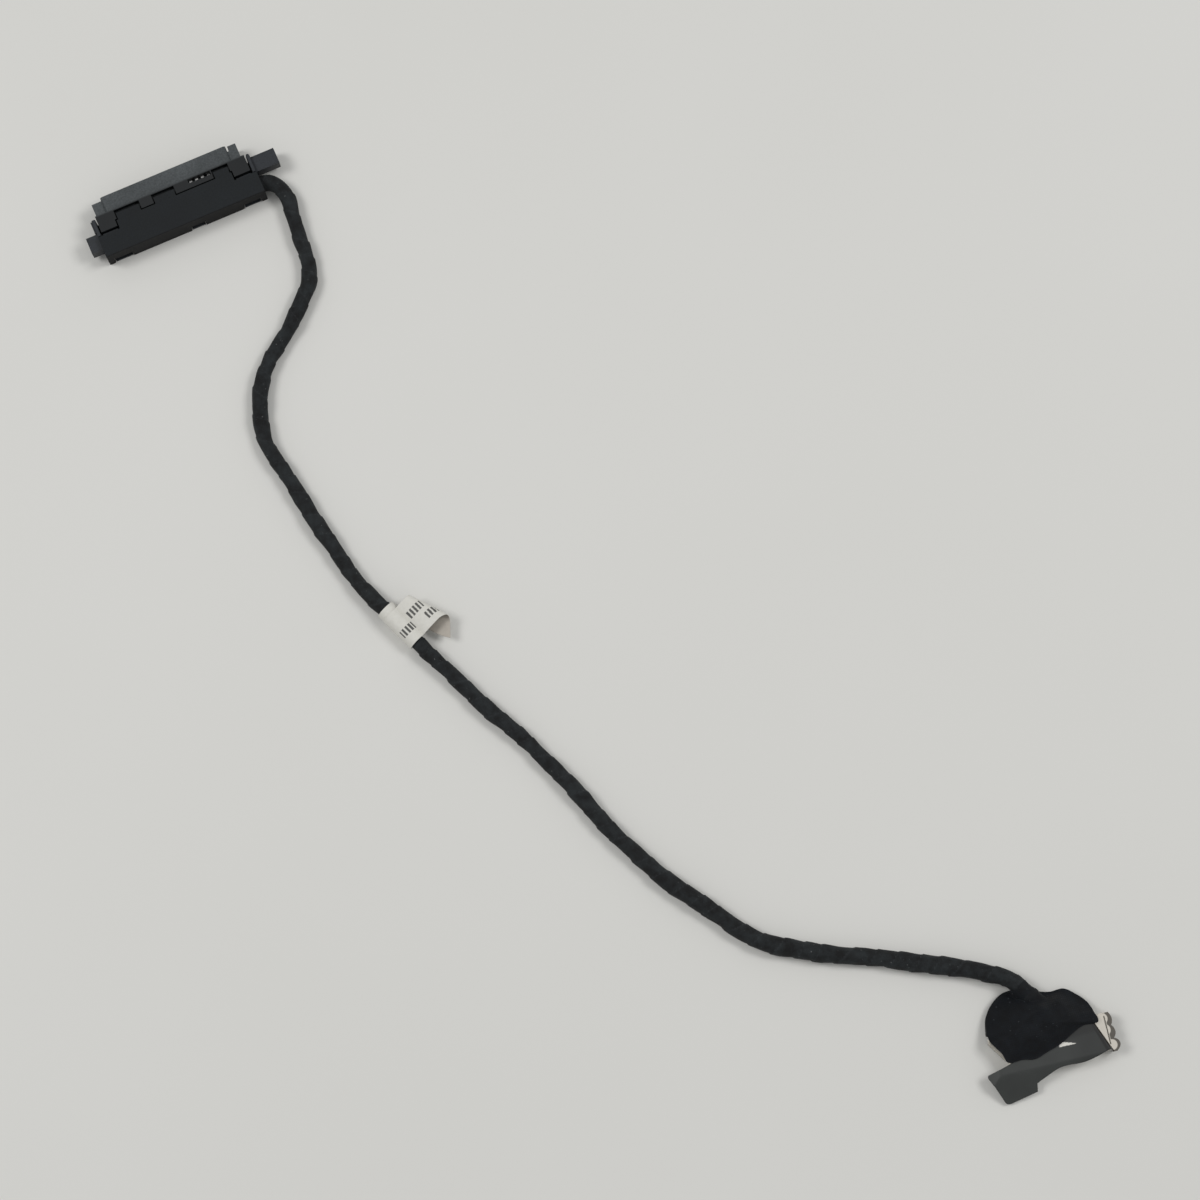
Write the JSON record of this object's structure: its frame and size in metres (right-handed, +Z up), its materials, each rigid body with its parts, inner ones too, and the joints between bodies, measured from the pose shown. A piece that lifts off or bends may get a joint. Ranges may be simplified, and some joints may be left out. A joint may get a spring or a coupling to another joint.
{
  "type": "optical drive adapter cable",
  "caption": "Short internal cable from a slim optical drive's moulded receptacle to a small board connector, in black tape sleeving with a paper flag label.",
  "frame": {"origin": "bottom centre of the drive end, which lies flat on the surface", "axes": "+X along the drive end towards the cable's exit, +Y out of the mating nose, +Z up"},
  "size_m": [0.1223, 0.2367, 0.0065],
  "materials": {
    "receptacle": "satin",
    "housing": "satin",
    "cover": "satin",
    "contact": "bright",
    "wire": "satin",
    "sleeve_tape": "matte",
    "pouch_tape": "matte",
    "label": "matte",
    "board_plastic": "satin",
    "stamped_metal": "satin",
    "film": "semi-matte"
  },
  "bodies": {
    "root": {"board_contact_01": "contact", "board_contact_02": "contact", "board_contact_03": "contact", "board_contact_04": "contact", "board_contact_05": "contact", "board_contact_06": "contact", "board_contact_07": "contact", "board_contact_08": "contact", "board_contact_09": "contact", "board_contact_10": "contact", "board_contact_11": "contact", "board_contact_12": "contact", "board_contact_13": "contact", "board_cover": "stamped_metal", "board_housing": "board_plastic", "cable_sleeve": "sleeve_tape", "end_wrap": "sleeve_tape", "fan_tape_pouch": "pouch_tape", "label_flag": "label", "power_contact_1": "contact", "power_contact_2": "contact", "power_contact_3": "contact", "power_contact_4": "contact", "power_contact_5": "contact", "power_contact_6": "contact", "pull_tab": "film", "receptacle": "receptacle", "signal_contact_1": "contact", "signal_contact_2": "contact", "signal_contact_3": "contact", "signal_contact_4": "contact", "signal_contact_5": "contact", "signal_contact_6": "contact", "signal_contact_7": "contact", "snap_cover": "cover", "wire_01": "wire", "wire_02": "wire", "wire_03": "wire", "wire_04": "wire", "wire_05": "wire", "wire_06": "wire", "wire_07": "wire", "wire_08": "wire", "wire_09": "wire", "wire_10": "wire", "wire_11": "wire", "wire_12": "wire", "wire_13": "wire", "wire_housing": "housing"}
  },
  "joints": []
}
